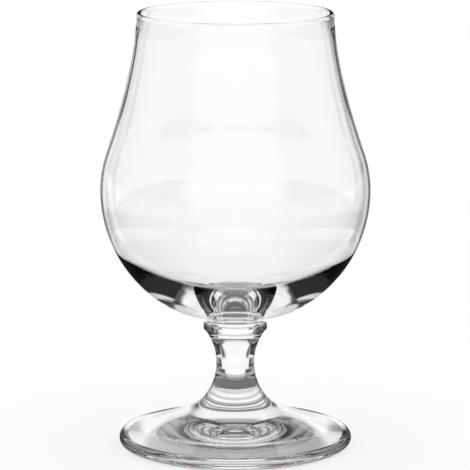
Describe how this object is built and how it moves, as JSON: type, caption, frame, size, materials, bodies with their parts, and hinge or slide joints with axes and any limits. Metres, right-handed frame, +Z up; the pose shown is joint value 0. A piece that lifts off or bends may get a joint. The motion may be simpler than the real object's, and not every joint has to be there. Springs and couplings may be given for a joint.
{
  "type": "beer glass",
  "caption": "Clear stemmed beer glass: tulip bowl with a round belly and an upright lip, on a short waisted stem with a collar and a heavy round foot, for serving and drinking beer.",
  "frame": {"origin": "centre of the flat ring under the foot, on the surface that the glass stands on", "axes": "+Z up along the axis of the glass; X and Y are alike because the glass is round"},
  "size_m": [0.1, 0.1, 0.1622],
  "materials": {
    "clear_glass": "clear, colourless, fire-polished"
  },
  "bodies": {
    "root": {"bowl": "clear_glass", "stem": "clear_glass", "foot": "clear_glass"}
  },
  "joints": []
}
